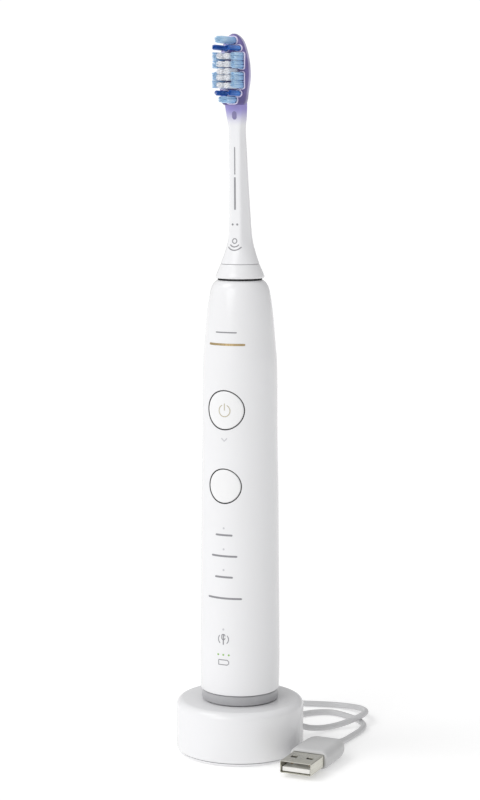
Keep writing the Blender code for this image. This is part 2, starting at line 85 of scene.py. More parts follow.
# bristles: centre x, centre z, width, height and corner radius of each tuft's foot
TOP_TUFT = ((-0.2, 258.95, 3.7, 2.5, 1.0),)
BOTTOM_TUFT = ((-0.1, 238.35, 3.9, 2.4, 1.0),)
ROUND_TUFTS = tuple((x, z, 2.0, 1.9, 0.94) for z in (256.3, 240.6) for x in (-2.45, 2.45))
WALL_X, WALL_HEIGHTS = 3.6, (251.9, 245.1)
WALL_W, WALL_H = 1.8, 5.6
WALL_TUFTS = tuple((x, z + half, WALL_W, 2.74, 0.3) for z in WALL_HEIGHTS for half in (-1.43, 1.43)
                   for x in (-WALL_X, WALL_X))
ROW_TUFTS = tuple((x, z, 2.45, 2.1, 1.0) for z in (253.4, 250.6, 248.1, 245.9, 243.2) for x in (-1.4, 1.4))
FILAMENT_R, FILAMENT_GAP = 0.112, 0.222
LEAN, UNEVEN = 0.006, 0.012  # most lean in radians, most shortening as a share of the length
TIP_SHARE = 0.035            # share of a filament's length that tapers
MOST_POINTS = 4.0e7          # filaments a square metre, far above what their spacing allows
RIM_HEIGHT = 0.5

# lead
CORD_D = 2.3
CORD_REST = CORD_D / 2       # height of the lead's centre where it lies
EXIT_ANGLE = math.radians(57.0)
EXIT_Z = 4.0
COIL_X, COIL_Y = -19.0, 39.2
COIL_RADII = (17.1, 14.8, 12.5, 10.2, 7.9)
TIE_ANGLE = 205.0            # where round the coil the tie sits, in degrees
RELIEF_END = 27.8            # distance from the base's axis at which the lead comes free
PLUG_X, PLUG_FRONT = 33.0, -25.2
USB_W, USB_H, USB_Z, USB_SHOWN = 12.0, 4.5, 3.85, 12.0
GRIP_W, GRIP_H, GRIP_LENGTH = 15.0, 7.0, 20.5


# ---------------------------------------------------------------- materials

def linear(code):
    """An sRGB hex colour as linear RGBA."""
    parts = [int(code[i:i + 2], 16) / 255 for i in (1, 3, 5)]
    return (*[c / 12.92 if c <= 0.04045 else ((c + 0.055) / 1.055) ** 2.4 for c in parts], 1.0)


def per_mm(size):
    """Scale of a pattern on Object coordinates whose features are size millimetres apart."""
    return 1.0 / (size * MM)


def add(tree, kind, values=None, **settings):
    """Add a node. values gives its inputs by name or number, each a constant or the socket that feeds it."""
    node = tree.nodes.new(kind)
    for key, value in settings.items():
        setattr(node, key, value)
    for key, value in (values or {}).items():
        if isinstance(value, bpy.types.NodeSocket):
            tree.links.new(value, node.inputs[key])
        else:
            node.inputs[key].default_value = value
    return node


def mixed(tree, share, first, second):
    """The colour between two, each an sRGB hex code or a colour socket."""
    ends = {6: first, 7: second}
    ends = {key: linear(value) if isinstance(value, str) else value for key, value in ends.items()}
    return add(tree, "ShaderNodeMix", {0: share, **ends}, data_type="RGBA").outputs[2]


def mapped(tree, value, low, high, first=0.0, last=1.0, **settings):
    """A value moved from the range low to high into the range first to last."""
    given = {0: value, 1: low, 2: high, 3: first, 4: last}
    return add(tree, "ShaderNodeMapRange", given, **settings).outputs[0]


def noise(tree, where, size, detail=2.0):
    """Noise whose features are size millimetres apart."""
    given = {"Vector": where, "Scale": per_mm(size), "Detail": detail}
    return add(tree, "ShaderNodeTexNoise", given).outputs[0]


def bump(tree, height, depth, strength):
    """The normals of a relief that is depth millimetres deep."""
    given = {"Height": height, "Distance": depth * MM, "Strength": strength}
    return add(tree, "ShaderNodeBump", given).outputs[0]


def maths(tree, operation, *values):
    """One step of arithmetic on values or sockets."""
    return add(tree, "ShaderNodeMath", dict(enumerate(values)), operation=operation).outputs[0]


def begin(name):
    """A new material, its tree, and the Object coordinates that its patterns stand on."""
    mat = bpy.data.materials.new(name)
    mat.use_nodes = True
    mat.node_tree.nodes.clear()
    where = add(mat.node_tree, "ShaderNodeTexCoord").outputs["Object"]
    return mat, mat.node_tree, where


def end(tree, **inputs):
    """Finish a material with one Principled shader."""
    given = {key.replace("_", " "): value for key, value in inputs.items()}
    shader = add(tree, "ShaderNodeBsdfPrincipled", given)
    add(tree, "ShaderNodeOutputMaterial", {"Surface": shader.outputs["BSDF"]})


def moulded(name, light, dark, rough, grain, depth, drift=26.0, spread=0.05, **extra):
    """Moulded plastic or rubber: a slow drift between two close tones, a fine grain in bump and gloss."""
    mat, tree, where = begin(name)
    tone = mixed(tree, noise(tree, where, drift), light, dark)
    fine = noise(tree, where, grain, 3.0)
    gloss = mapped(tree, fine, 0.25, 0.75, rough - spread, rough + spread)
    end(tree, Base_Color=tone, Roughness=gloss, Normal=bump(tree, fine, depth, 0.25), **extra)
    return mat


def brushed(name, light, dark, rough, spacing, along):
    """Drawn or rolled metal: fine lines stretched along one axis, in colour, gloss and bump."""
    mat, tree, where = begin(name)
    stretch = [per_mm(spacing)] * 3
    stretch[along] = per_mm(spacing * 30)
    drawn = add(tree, "ShaderNodeMapping", {"Vector": where, "Scale": stretch}).outputs[0]
    lines = add(tree, "ShaderNodeTexNoise", {"Vector": drawn, "Scale": 1.0, "Detail": 3.0}).outputs[0]
    tone = mixed(tree, lines, light, dark)
    gloss = mapped(tree, lines, 0.3, 0.7, rough - 0.05, rough + 0.08)
    end(tree, Base_Color=tone, Metallic=1.0, Roughness=gloss, Normal=bump(tree, lines, 0.004, 0.5))
    return mat


def wound(name, light, dark, wire):
    """Enamelled copper wire laid in turns: bands one wire high."""
    mat, tree, where = begin(name)
    turns = add(tree, "ShaderNodeTexWave", {
        "Vector": where, "Scale": per_mm(wire) / math.tau, "Distortion": 0.4, "Detail": 1.0},
        bands_direction="Z", wave_profile="SIN").outputs[1]
    tone = mixed(tree, turns, dark, light)
    end(tree, Base_Color=tone, Metallic=1.0, Roughness=0.32, Normal=bump(tree, turns, wire / 3, 1.0))
    return mat


def two_shot(name, low, high):
    """The neck: clear white acetal that takes up the head's violet tint between two heights."""
    mat, tree, where = begin(name)
    height = add(tree, "ShaderNodeSeparateXYZ", {0: where}).outputs["Z"]
    shifted = maths(tree, "MULTIPLY_ADD", noise(tree, where, 4.0), 1.6 * MM, height)
    share = mapped(tree, shifted, low * MM, high * MM, interpolation_type="SMOOTHSTEP")
    tone = mixed(tree, share, "#e2e2e4", "#958cc8")
    fine = noise(tree, where, 2.0)
    gloss = mapped(tree, fine, 0.3, 0.7, 0.22, 0.27)
    end(tree, Base_Color=tone, Roughness=gloss, Normal=bump(tree, fine, 0.003, 0.25), IOR=1.48)
    return mat


def tinted(name, shaded_edge, middle, root):
    """The head's moulding: a painted highlight as a pale stripe round the middle of its side, painted shade
    towards its front and back edges, darker towards the bottom, and slow clouds in the tint.
    """
    mat, tree, where = begin(name)
    axes = add(tree, "ShaderNodeSeparateXYZ", {0: where}).outputs
    # painted highlight: the side turns pale a little behind its front edges
    pale_highlight_stripe = mapped(tree, axes["Y"], (HEAD_FACE + 0.8) * MM, (HEAD_FACE + 1.6) * MM,
                  interpolation_type="SMOOTHSTEP")
    # painted shade: the pale stripe fades back to the darker tone towards the back
    back_edge_shade = mapped(tree, axes["Y"], (HEAD_BACK - 1.1) * MM, (HEAD_BACK - 0.5) * MM, 1.0, 0.2,
                  interpolation_type="SMOOTHSTEP")
    side = mixed(tree, maths(tree, "MULTIPLY", pale_highlight_stripe, back_edge_shade), shaded_edge, middle)
    deep = mixed(tree, mapped(tree, axes["Z"], 244.5 * MM, 238.5 * MM, 0.0, 0.75), side, root)
    cloud = noise(tree, where, 3.0)
    value = mapped(tree, cloud, 0.3, 0.7, 0.9, 1.12)
    tone = add(tree, "ShaderNodeHueSaturation", {"Color": deep, "Value": value}).outputs[0]
    gloss = mapped(tree, cloud, 0.0, 1.0, 0.18, 0.28)
    end(tree, Base_Color=tone, Roughness=gloss, IOR=1.49, Coat_Weight=0.2, Coat_Roughness=0.15)
    return mat


def nylon(name, root, tip, along_low, along_high, painted_glow):
    """Nylon filament with one colour at its foot and one at its tip, and a faint emission in the tip colour
    that is painted light brightening the strands.
    """
    mat, tree, where = begin(name)
    y = add(tree, "ShaderNodeSeparateXYZ", {0: where}).outputs["Y"]
    tone = mixed(tree, mapped(tree, y, along_low * MM, along_high * MM), root, tip)
    value = mapped(tree, noise(tree, where, 0.3, 1.0), 0.3, 0.7, 0.94, 1.06)
    varied = add(tree, "ShaderNodeHueSaturation", {"Color": tone, "Value": value}).outputs[0]
    # painted light: a faint emission in the tip colour brightens the strands
    end(tree, Base_Color=varied, Roughness=0.34, IOR=1.53, Emission_Color=linear(tip),
        Emission_Strength=painted_glow, Subsurface_Weight=0.15, Subsurface_Radius=(1.0, 1.0, 1.0),
        Subsurface_Scale=0.3 * MM)
    return mat


# Injection-moulded ABS, polished tool: near-white, soft gloss with the faintest orange peel.
WHITE_ABS = moulded("white_abs_soft_gloss", "#e4e4e6", "#e0e0e1", 0.24, 2.4, 0.003, spread=0.02, IOR=1.52)
# The same ABS from a finer spark-eroded tool on the buttons: a touch duller and warmer.
BUTTON_ABS = moulded("white_abs_satin_button", "#e8e8e8", "#e4e4e5", 0.30, 1.6, 0.002, spread=0.02, IOR=1.52)
# Metallic-painted ABS ring at the handle's foot: silver flake under satin lacquer.
SILVER_PAINT = moulded("silver_satin_paint", "#a9a9ab", "#9e9ea1", 0.34, 0.35, 0.003, drift=2.0, IOR=1.5,
                       Coat_Weight=0.25, Coat_Roughness=0.3)
# Thermoplastic elastomer jacket of the lead: matt pale grey with a slight drawn skin.
CORD_TPE = moulded("pale_grey_tpe_jacket", "#d0d0d1", "#c5c5c6", 0.34, 0.8, 0.010, drift=9.0, IOR=1.5)
# The same elastomer moulded over the plug: smoother, a little darker.
GRIP_TPE = moulded("pale_grey_tpe_grip", "#cacaca", "#c0c0c1", 0.40, 0.7, 0.008, drift=7.0, IOR=1.5)
# Black silicone seal: matt, nearly no highlight.
BLACK_SILICONE = moulded("black_silicone_seal", "#1b1b1d", "#121213", 0.6, 0.4, 0.01, drift=5.0, IOR=1.43)
# Grey printed ink: thin, dry and matt.
GREY_INK = moulded("grey_pad_print_ink", "#8d8d90", "#848488", 0.5, 0.15, 0.001, drift=1.0, IOR=1.5)
# A thinner print that lets the white through: reads as a faint grey mark.
PALE_INK = moulded("pale_pad_print_ink", "#c3c3c6", "#bcbcc0", 0.5, 0.15, 0.001, drift=1.0, IOR=1.5)
# Gold hot-foil print: warm metal film that turns darker away from the light.
GOLD_FOIL = brushed("gold_hot_foil", "#c9b48c", "#96805a", 0.38, 0.25, 2)
# Gold-tinted ink on the power button: matt and olive, with no metal glint.
PALE_GOLD_INK = moulded("pale_gold_pad_print_ink", "#bdb69e", "#b0a88e", 0.42, 0.15, 0.001, drift=1.0,
                        IOR=1.5)
# Green tinted window of a battery light: small clear dome.
GREEN_LENS = moulded("green_light_window", "#9cc274", "#84b060", 0.2, 0.2, 0.001, drift=0.6, IOR=1.5)
# Violet tinted polypropylene of the head: darker towards the bottom, with a pale stripe along the middle of its
# side that is a painted highlight, and painted shade towards its front and back edges.
VIOLET_PP = tinted("violet_tinted_polypropylene", "#6a5f9a", "#b3acd6", "#4f447c")
# The same plastic left nearly clear in the rims round the tufts: a pale line with a soft gloss.
RIM_PP = moulded("pale_violet_polypropylene_rim", "#e9e4f5", "#d9d0ee", 0.3, 0.4, 0.002, drift=2.0, IOR=1.49)
# Inlaid violet plastic of the neck's window: greyer than the head, smooth.
WINDOW_PP = moulded("violet_wear_window", "#8580a8", "#777099", 0.25, 0.3, 0.002, drift=1.5, IOR=1.49)
# White acetal of the neck: soft gloss, taking on a violet tint below the head.
NECK_ACETAL = two_shot("white_to_violet_acetal", 229.6, 236.6)
# Each nylon below carries a faint emission, its last number, that is painted light.
# Light blue nylon: satin strands, sky blue at the foot and nearly ice at the tips.
LIGHT_NYLON = nylon("light_blue_nylon", "#9bc8f4", "#d0eafc", -7.0, -16.0, 0.03)
# Dark blue nylon: the same strands, turning deeper towards the tips.
DARK_NYLON = nylon("dark_blue_nylon", "#66a2ee", "#2a6cc6", -7.5, -13.0, 0.02)
# White nylon: bright, with fine grey lines where strands part.
WHITE_NYLON = nylon("white_nylon", "#f4f7ff", "#fcfdff", -7.0, -15.0, 0.055)
# Nickel-plated rolled steel of the plug: warm silver, faint lines along the plug.
PLUG_STEEL = brushed("nickel_plated_steel", "#dddcd4", "#b5b3a8", 0.2, 0.3, 1)
# Gold flash on the plug's contacts: yellow glint inside the shell.
GOLD_CONTACT = brushed("gold_flash_contact", "#e7c682", "#c49a4e", 0.25, 0.2, 1)
# White PBT of the plug's tongue: matt and a little creamy.
TONGUE_PBT = moulded("white_pbt_tongue", "#e4e3df", "#dad9d4", 0.45, 0.3, 0.004, drift=4.0, IOR=1.55)
# Turned stainless steel of the shaft and bearings: fine tool lines, bright.
TURNED_STEEL = brushed("turned_stainless_steel", "#c9c9cb", "#a9a9ad", 0.24, 0.12, 0)
# Unpainted acetal of the inner frames: waxy off-white.
WHITE_POM = moulded("natural_acetal_frame", "#cfcec8", "#c2c1bb", 0.42, 0.5, 0.006, IOR=1.48)
# Sintered ferrite of the cores: charcoal, dull, sandy.
FERRITE = moulded("sintered_ferrite", "#2b2b2d", "#1e1e20", 0.62, 0.12, 0.02, drift=2.0)
# Circuit board under lacquer: dark green with a wet gloss.
BOARD = moulded("lacquered_circuit_board", "#1d5a3a", "#154a2f", 0.35, 0.25, 0.006, drift=1.3,
                Coat_Weight=0.3)
# Shrink film round the battery: blue, slightly rippled.
CELL_SLEEVE = moulded("blue_shrink_sleeve", "#2d5f93", "#24507e", 0.32, 1.2, 0.02, drift=9.0)
# Clear polycarbonate light guide: glassy, faintly blue.
CLEAR_PC = moulded("clear_polycarbonate_guide", "#dfe6ea", "#cfd8de", 0.12, 0.8, 0.003,
                   Transmission_Weight=0.7, IOR=1.58)
# Enamelled copper wire: warm bands one wire high.
COPPER = wound("enamelled_copper_winding", "#c9743f", "#7d3d1c", 0.3)
# Glass-filled PBT of the handle's inner foot: mid grey satin with a coarse grain.
GREY_PBT = moulded("grey_satin_pbt", "#8b8b8e", "#7e7e82", 0.4, 0.4, 0.006, drift=6.0, IOR=1.55)


# ---------------------------------------------------------------- mesh helpers

def smooth_path(points, spacing):
    """Catmull-Rom curve through the points, read about every spacing millimetres."""
    points = [Vector(point) for point in points]
    ends = [2 * points[0] - points[1]] + points + [2 * points[-1] - points[-2]]
    path = []
    for p0, p1, p2, p3 in zip(ends, ends[1:], ends[2:], ends[3:]):
        steps = max(1, round((p2 - p1).length / spacing))
        for i in range(steps):
            t = i / steps
            path.append(0.5 * (2 * p1 + (p2 - p0) * t + (2 * p0 - 5 * p1 + 4 * p2 - p3) * t ** 2
                               + (3 * p1 - p0 - 3 * p2 + p3) * t ** 3))
    return path + [points[-1]]


def arc(x, y, radius, start, end_angle, steps):
    """Points on an arc, its angles in degrees."""
    angles = [math.radians(start + (end_angle - start) * i / steps) for i in range(steps + 1)]
    return [(x + radius * math.cos(a), y + radius * math.sin(a)) for a in angles]


def rounded(width, height, radius, x=0.0, y=0.0, steps=6):
    """A rectangle with round corners, counter-clockwise."""
    a, b = width / 2 - radius, height / 2 - radius
    return [point for cx, cy, start in ((a, b, 0), (-a, b, 90), (-a, -b, 180), (a, -b, 270))
            for point in arc(x + cx, y + cy, radius, start, start + 90, steps)]


def spun(outline, sides=SIDES):
    """Turn a closed outline of (radius, height) points about Z."""
    bm = bmesh.new()
    verts = [bm.verts.new((r, 0.0, z)) for r, z in outline]
    edges = [bm.edges.new((a, b)) for a, b in zip(verts, verts[1:] + verts[:1])
             if a.co.x > 1e-6 or b.co.x > 1e-6]
    bmesh.ops.spin(bm, geom=verts + edges, cent=(0, 0, 0), axis=(0, 0, 1), dvec=(0, 0, 0),
                   angle=math.tau, steps=sides, use_merge=True)
    bmesh.ops.remove_doubles(bm, verts=bm.verts, dist=1e-4)
    return bm


def skin(bm, loops, ring=False):
    """Skin equal loops of points, the ends capped or, in a ring, the last loop joined to the first."""
    rows = [[bm.verts.new(point) for point in loop] for loop in loops]
    for lower, upper in zip(rows, rows[1:] + rows[:1] if ring else rows[1:]):
        for i in range(len(lower)):
            j = (i + 1) % len(lower)
            bm.faces.new((lower[i], lower[j], upper[j], upper[i]))
    if not ring:
        bm.faces.new(rows[0])
        bm.faces.new(rows[-1])
    return bm


def solid(name, bm, mat):
    """A mesh object of a bmesh drawn in millimetres in the shared frame."""
    bmesh.ops.remove_doubles(bm, verts=bm.verts, dist=1e-5)
    bmesh.ops.recalc_face_normals(bm, faces=bm.faces)
    bmesh.ops.scale(bm, vec=(MM, MM, MM), verts=bm.verts)
    mesh = bpy.data.meshes.new(name)
    bm.to_mesh(mesh)
    bm.free()
    mesh.shade_smooth()
    mesh.set_sharp_from_angle(angle=SHARP)
    if mat:
        mesh.materials.append(mat)
    obj = bpy.data.objects.new(name, mesh)
    bpy.context.collection.objects.link(obj)
    return obj


def belongs(obj, body, slot, *nodes):
    """Say which body the piece rides on and which CAD nodes it stands for, which are hidden; slot is not used.
    """
    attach(obj, body)
    if nodes:
        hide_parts(*nodes)
    return obj


def cut(obj, *others):
    """Take other solids out of a piece."""
    for other in others:
        modifier = obj.modifiers.new(other.name, "BOOLEAN")
        modifier.operation = "DIFFERENCE"
        modifier.solver = "EXACT"
        modifier.object = other
    applied(obj)
    for other in others:
        bpy.data.objects.remove(other, do_unlink=True)
    obj.data.set_sharp_from_angle(angle=SHARP)
    return obj


def applied(obj):
    """Make the modifiers' result the object's own mesh."""
    evaluated = obj.evaluated_get(bpy.context.evaluated_depsgraph_get())
    mesh = bpy.data.meshes.new_from_object(evaluated)
    obj.modifiers.clear()
    obj.data = mesh
    return obj


# ---------------------------------------------------------------- camera and light

def make_camera():
    """Eye 720 mm out and 223 mm up, 24.5 degrees round from the front, tipped down a little."""
    around, out, up = math.radians(24.5), 720.0, 223.0
    camera = bpy.data.cameras.new("camera")
    camera.sensor_fit = "VERTICAL"
    camera.sensor_height = 36.0
    camera.lens = 89.84
    camera.clip_start = 0.01
    camera.clip_end = 100.0
    eye = bpy.data.objects.new("camera", camera)
    eye.location = Vector((out * math.sin(around), -out * math.cos(around), up)) * MM
    eye.rotation_euler = (math.radians(90 - 7.32), 0.0, around)
    bpy.context.collection.objects.link(eye)
    bpy.context.scene.camera = eye


def make_light(name, around, height, strength, spread):
    """A far soft light, around degrees from the front and height degrees above the floor."""
    data = bpy.data.lights.new(name, "SUN")
    data.energy = strength
    data.angle = math.radians(spread)
    light = bpy.data.objects.new(name, data)
    a, h = math.radians(around), math.radians(height)
    towards = Vector((math.sin(a) * math.cos(h), -math.cos(a) * math.cos(h), math.sin(h)))
    light.rotation_euler = (-towards).to_track_quat("-Z", "Y").to_euler()
    bpy.context.collection.objects.link(light)


def make_studio():
    """A white sweep: pale glowing floor, surroundings that dim to the right, two soft lights at the left."""
    bpy.context.scene.view_settings.view_transform = "Standard"
    world = bpy.data.worlds.new("studio")
    world.use_nodes = True
    tree = world.node_tree
    tree.nodes.clear()
    heading = add(tree, "ShaderNodeTexCoord").outputs["Generated"]
    side = add(tree, "ShaderNodeVectorMath", {0: heading, 1: (-0.57, -0.80, 0.15)}, operation="DOT_PRODUCT")
    given = mapped(tree, side.outputs["Value"], -1.0, 1.0, 0.46, 0.80)
    seen = add(tree, "ShaderNodeLightPath").outputs["Is Camera Ray"]
    power = mapped(tree, seen, 0.0, 1.0, given, 1.05)
    sky = add(tree, "ShaderNodeBackground", {"Color": (1, 1, 1, 1), "Strength": power})
    add(tree, "ShaderNodeOutputWorld", {"Surface": sky.outputs[0]})
    bpy.context.scene.world = world
    make_light("front_softbox", -14.0, 26.0, 0.72, 35.0)
    make_light("side_softbox", -56.0, 52.0, 0.66, 28.0)

    mat, tree, where = begin("white_matt_sweep")
    tone = mixed(tree, noise(tree, where, 60.0), "#e6e6e6", "#e4e4e4")
    end(tree, Base_Color=tone, Roughness=0.9, Emission_Color=(1, 1, 1, 1), Emission_Strength=0.33)
    bm = bmesh.new()
    bmesh.ops.create_circle(bm, cap_ends=True, radius=60000.0, segments=64)
    floor = solid("sweep_floor", bm, mat)
    floor.location.z = -0.00005


make_camera()
make_studio()


# ---------------------------------------------------------------- lead

def exit_point(radius, height):
    return (radius * math.cos(EXIT_ANGLE), radius * math.sin(EXIT_ANGLE), height)


def to_exit(bm):
    """Lay a bmesh that was turned about Z along the lead's way out of the base."""
    bmesh.ops.rotate(bm, matrix=Matrix.Rotation(math.radians(90), 3, "Y"), verts=bm.verts)
    bmesh.ops.rotate(bm, matrix=Matrix.Rotation(EXIT_ANGLE, 3, "Z"), verts=bm.verts)
    bmesh.ops.translate(bm, vec=(0, 0, EXIT_Z), verts=bm.verts)
    return bm


def blend(value, low, high):
    """0 before low, 1 after high, smooth between."""
    t = min(max((value - low) / (high - low), 0.0), 1.0)
    return t * t * (3 - 2 * t)


def coil_points():
    """Two flat layers wound from the outside in, then back out on top, one cord's width apart."""
    start, leave, step = 96.0, 290.0, 18.0
    inward = len(COIL_RADII)
    pitch = COIL_RADII[0] - COIL_RADII[1]
    total = 360.0 * (2 * inward - 1) + leave - start
    points = []
    turned = 0.0
    while turned <= total + 0.1:
        turn, part = divmod(turned, 360.0)
        if turn < inward - 1:
            r = COIL_RADII[int(turn)] - pitch * blend(part, 290.0, 360.0)
            z = CORD_REST
        elif turn < inward:
            r = COIL_RADII[-1]
            z = CORD_REST + CORD_D * blend(part, 230.0, 300.0)
        else:
            outer = int(turn) - inward
            r = COIL_RADII[-1 - outer]
            if turn < 2 * inward - 1:
                r += pitch * blend(part, 150.0, 225.0)
            z = CORD_REST + CORD_D
        angle = math.radians(start + turned)
        lifted = 0.55 * math.exp(-((math.degrees(angle) % 360 - TIE_ANGLE) / 16.0) ** 2)
        points.append((COIL_X + r * math.cos(angle), COIL_Y + r * math.sin(angle), z + lifted))
        turned += step
    return points


def lead_path():
    """The lead from the base's strain relief, through its coil, to the plug."""
    z = CORD_REST
    first = [exit_point(RELIEF_END, EXIT_Z), exit_point(31.5, 2.7), (19.9, 31.6, 1.6), (23.0, 36.8, 1.4),
             (26.4, 40.6, 2.2), (29.2, 43.8, 3.3), (30.6, 47.6, 3.9), (30.0, 52.0, 3.8), (27.4, 56.4, 3.2),
             (23.4, 60.6, 2.4), (18.2, 63.6, 1.6), (11.8, 64.6, z), (5.0, 62.9, z), (-1.6, 60.9, z),
             (-8.0, 59.3, z), (-13.4, 58.2, z)]
    last = [(-7.5, 25.2, 3.4), (-3.0, 27.9, 2.9), (0.2, 32.4, 2.3), (2.2, 38.4, 1.5), (4.4, 45.2, z),
            (8.8, 51.2, z), (14.8, 54.2, z), (21.6, 52.4, z), (28.4, 48.4, z), (32.7, 42.9, z), (34.0, 36.2, z),
            (33.7, 29.0, z), (33.3, 21.0, 1.3), (33.1, 14.5, 2.3), (33.0, 9.7, 3.6),
            (PLUG_X, PLUG_FRONT + USB_SHOWN + GRIP_LENGTH + 0.3, USB_Z)]
    return smooth_path(first + coil_points() + last, 1.2)


def make_lead():
    """The lead as a bevelled curve, and its length along its points."""
    path = lead_path()
    curve = bpy.data.curves.new("usb_lead", "CURVE")
    curve.dimensions = "3D"
    curve.bevel_depth = CORD_D / 2 * MM
    curve.bevel_resolution = 4
    curve.resolution_u = curve.render_resolution_u = 1
    curve.use_fill_caps = True
    spline = curve.splines.new("POLY")
    spline.points.add(len(path) - 1)
    for point, at in zip(spline.points, path):
        point.co = (*(at * MM), 1.0)
    spline.use_smooth = True
    curve.materials.append(CORD_TPE)
    lead = bpy.data.objects.new("usb_lead", curve)
    bpy.context.collection.objects.link(lead)
    length = sum((b - a).length for a, b in zip(path, path[1:]))
    return belongs(lead, "charger", "cord_jacket", "charging_cord", "plug_cord", "cord_coil"), length


def make_tie():
    """A soft strap round the coil, its end lapped over."""
    middle_r = COIL_RADII[len(COIL_RADII) // 2]
    across = COIL_RADII[0] - COIL_RADII[-1] + CORD_D + 0.5
    tall = 2 * CORD_D + 0.5
    bm = bmesh.new()
    half = 2.6
    thick = 0.45
    skin(bm, [[(r, along, z) for r, z in rounded(across + 2 * out, tall + 2 * out, 1.5 + out, steps=8)]
              for out, along in ((0.0, -half), (thick, -half), (thick, half), (0.0, half))], ring=True)
    lap = [[(x, y, z) for x, z in rounded(5.2, 0.5, 0.2, 1.4, tall / 2 + 0.62, 3)] for y in (-half, half)]
    skin(bm, lap)
    turn = Matrix.Rotation(math.radians(TIE_ANGLE), 4, "Z")
    bmesh.ops.transform(bm, matrix=turn, verts=bm.verts)
    a = math.radians(TIE_ANGLE)
    place = (COIL_X + middle_r * math.cos(a), COIL_Y + middle_r * math.sin(a), tall / 2 + 0.46)
    bmesh.ops.translate(bm, vec=place, verts=bm.verts)
    return belongs(solid("lead_tie", bm, BLACK_SILICONE), "charger", "rubber")


def make_strain_relief():
    """A short taper with four grip rings, where the lead leaves the base."""
    outline = [(0.0, BASE_R - 3.6), (2.2, BASE_R - 3.6), (2.2, BASE_R - 2.4), (1.75, BASE_R - 2.2),
               (1.75, BASE_R + 0.2)]
    reach = BASE_R + 0.4
    for i in range(4):
        r = 1.72 - 0.1 * i
        outline += [(r, reach), (r, reach + 0.5), (r - 0.22, reach + 0.6), (r - 0.22, reach + 0.8)]
        reach += 0.9
    outline += [(1.3, BASE_R + 4.2), (1.16, BASE_R + 4.4), (0.0, BASE_R + 4.4)]
    relief = solid("strain_relief", to_exit(spun(outline, 32)), GRIP_TPE)
    belongs(relief, "charger", "cord_jacket", "cord_grommet")


# ---------------------------------------------------------------- plug

def plug_section(width, height, radius, y, steps=6):
    return [(PLUG_X + x, y, USB_Z + z) for x, z in rounded(width, height, radius, 0.0, 0.0, steps)]


def make_plug():
    back = PLUG_FRONT + USB_SHOWN
    root = back + 8.0
    wall = 0.32
    bm = bmesh.new()
    skin(bm, [plug_section(USB_W - 2 * wall, USB_H - 2 * wall, 0.3, root - 0.6),
              plug_section(USB_W - 2 * wall, USB_H - 2 * wall, 0.3, PLUG_FRONT + 0.1),
              plug_section(USB_W - 2 * wall + 0.12, USB_H - 2 * wall + 0.12, 0.36, PLUG_FRONT),
              plug_section(USB_W - 0.16, USB_H - 0.16, 0.46, PLUG_FRONT),
              plug_section(USB_W, USB_H, 0.5, PLUG_FRONT + 0.12),
              plug_section(USB_W, USB_H, 0.5, root)])
    shell = solid("plug_shell", bm, PLUG_STEEL)
    cutters = []
    for x in (-3.0, 3.0):
        for z in (USB_Z + USB_H / 2, USB_Z - USB_H / 2):
            box = bmesh.new()
            skin(box, [[(PLUG_X + x + a, PLUG_FRONT + 6.3 + b, z + c) for a, b in rounded(2.4, 2.2, 0.25)]
                       for c in (-0.8, 0.8)])
            cutters.append(solid("window", box, None))
    seam = bmesh.new()
    skin(seam, [[(PLUG_X + a, PLUG_FRONT + 5.5 + b, USB_Z - USB_H / 2 + c)
                 for a, b in rounded(0.12, 13.0, 0.05)] for c in (-0.2, 0.12)])
    cutters.append(solid("seam", seam, None))
    cut(shell, *cutters)
    belongs(shell, "charger", "steel", "usb_shell")

    bm = bmesh.new()
    low, high = USB_Z - USB_H / 2 + 0.62, USB_Z - 0.02
    skin(bm, [[(PLUG_X + a, PLUG_FRONT + 9.8 + b, z) for a, b in rounded(10.7 - 2 * i, 18.4 - 2 * i, 0.3)]
              for z, i in ((low, 0.12), (low + 0.12, 0.0), (high - 0.15, 0.0), (high, 0.15))])
    tongue = solid("plug_tongue", bm, TONGUE_PBT)
    belongs(tongue, "charger", "white_plastic", "usb_tongue")

    bm = bmesh.new()
    for i, x in enumerate((-3.5, -1.0, 1.0, 3.5)):
        front = PLUG_FRONT + (5.0 if i in (0, 3) else 6.0)
        skin(bm, [[(PLUG_X + x + a, y, high + z) for a, z in rounded(1.0, h, 0.06, 0.0, h / 2 - 0.02, 2)]
                  for y, h in ((front, 0.14), (front + 0.4, 0.18), (back + 2.0, 0.18))])
    contacts = solid("plug_contacts", bm, GOLD_CONTACT)
    belongs(contacts, "charger", "steel")

    stations = ((1.4, 1.2, 1.8, 0.0), (0.9, 0.7, 2.2, 0.25), (0.35, 0.25, 2.6, 0.9), (0.0, 0.0, 2.9, 2.2),
                (0.0, 0.0, 2.9, 9.0), (0.1, 0.05, 2.9, 14.0), (0.5, 0.3, 2.9, 16.2), (1.6, 0.9, 2.8, 18.2),
                (3.6, 2.0, 2.3, 19.5), (6.0, 3.3, 1.7, 20.2), (8.2, 4.3, 1.3, 20.5))
    bm = bmesh.new()
    skin(bm, [plug_section(GRIP_W - w, GRIP_H - h, r, back + y, 8) for w, h, r, y in stations])
    grip = solid("plug_grip", bm, GRIP_TPE)
    pocket = bmesh.new()
    skin(pocket, [plug_section(USB_W + 0.2, USB_H + 0.2, 0.6, y) for y in (back - 2.0, root + 0.2)])
    cut(grip, solid("pocket", pocket, None))
    belongs(grip, "charger", "cord_jacket", "usb_overmould")
    return shell, tongue, contacts, grip


lead, lead_length = make_lead()
tie = make_tie()
make_strain_relief()
plug_pieces = make_plug()


# ---------------------------------------------------------------- charging base

